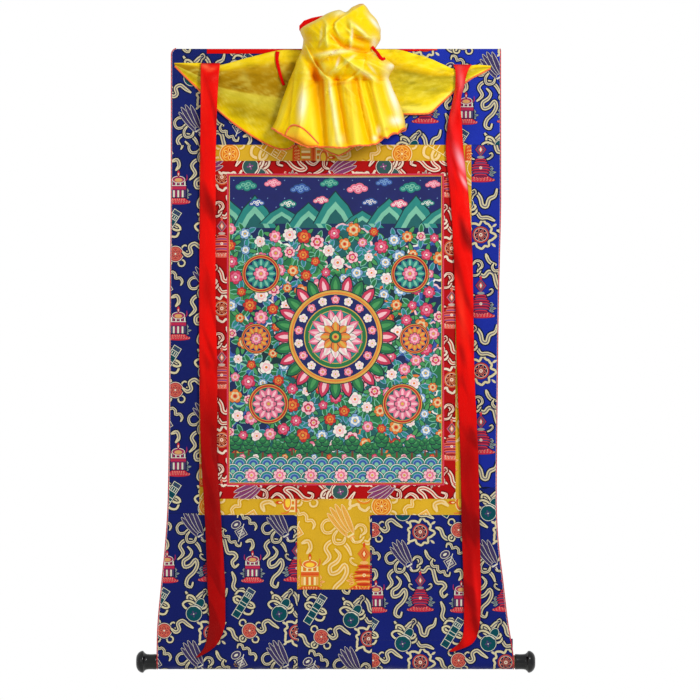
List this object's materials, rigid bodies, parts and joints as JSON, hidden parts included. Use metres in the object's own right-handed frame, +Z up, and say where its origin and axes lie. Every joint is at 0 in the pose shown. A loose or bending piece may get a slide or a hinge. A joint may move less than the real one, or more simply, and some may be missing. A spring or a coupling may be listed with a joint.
{
  "type": "thangka scroll painting",
  "caption": "Hanging scroll: framed picture panel in a flared blue brocade mount with a gathered silk veil, satin streamers and a roller.",
  "frame": {"origin": "middle of the mount's top edge, in the plane of the wall", "axes": "+X to the viewer's right, +Y into the wall, +Z up"},
  "size_m": [0.8456, 0.1144, 1.4158],
  "materials": {
    "blue_brocade": "woven brocade, satin ground with matt motifs",
    "crimson_brocade": "woven brocade",
    "yellow_brocade": "woven brocade",
    "picture_cloth": "painted cotton, matt",
    "red_piping": "twisted cord",
    "yellow_silk": "thin glossy silk",
    "red_satin": "glossy satin",
    "roller_timber": "bare turned wood, hidden in the sleeve",
    "black_lacquer": "black gloss lacquer"
  },
  "bodies": {
    "root": {"blue_mount": "blue_brocade", "painting_panel": "picture_cloth", "red_border_top": "crimson_brocade", "red_border_bottom": "crimson_brocade", "red_border_left": "crimson_brocade", "red_border_right": "crimson_brocade", "yellow_border_top": "yellow_brocade", "yellow_border_bottom": "yellow_brocade", "yellow_border_left": "yellow_brocade", "yellow_border_right": "yellow_brocade", "door_patch": "yellow_brocade", "edge_piping_left": "red_piping", "edge_piping_right": "red_piping", "roller_rod": "roller_timber", "finial_left": "black_lacquer", "finial_right": "black_lacquer", "veil": "yellow_silk", "tie_left": "red_satin", "tie_right": "red_satin", "hanging_tape": "red_satin", "streamer_left": "red_satin", "streamer_right": "red_satin"}
  },
  "joints": []
}
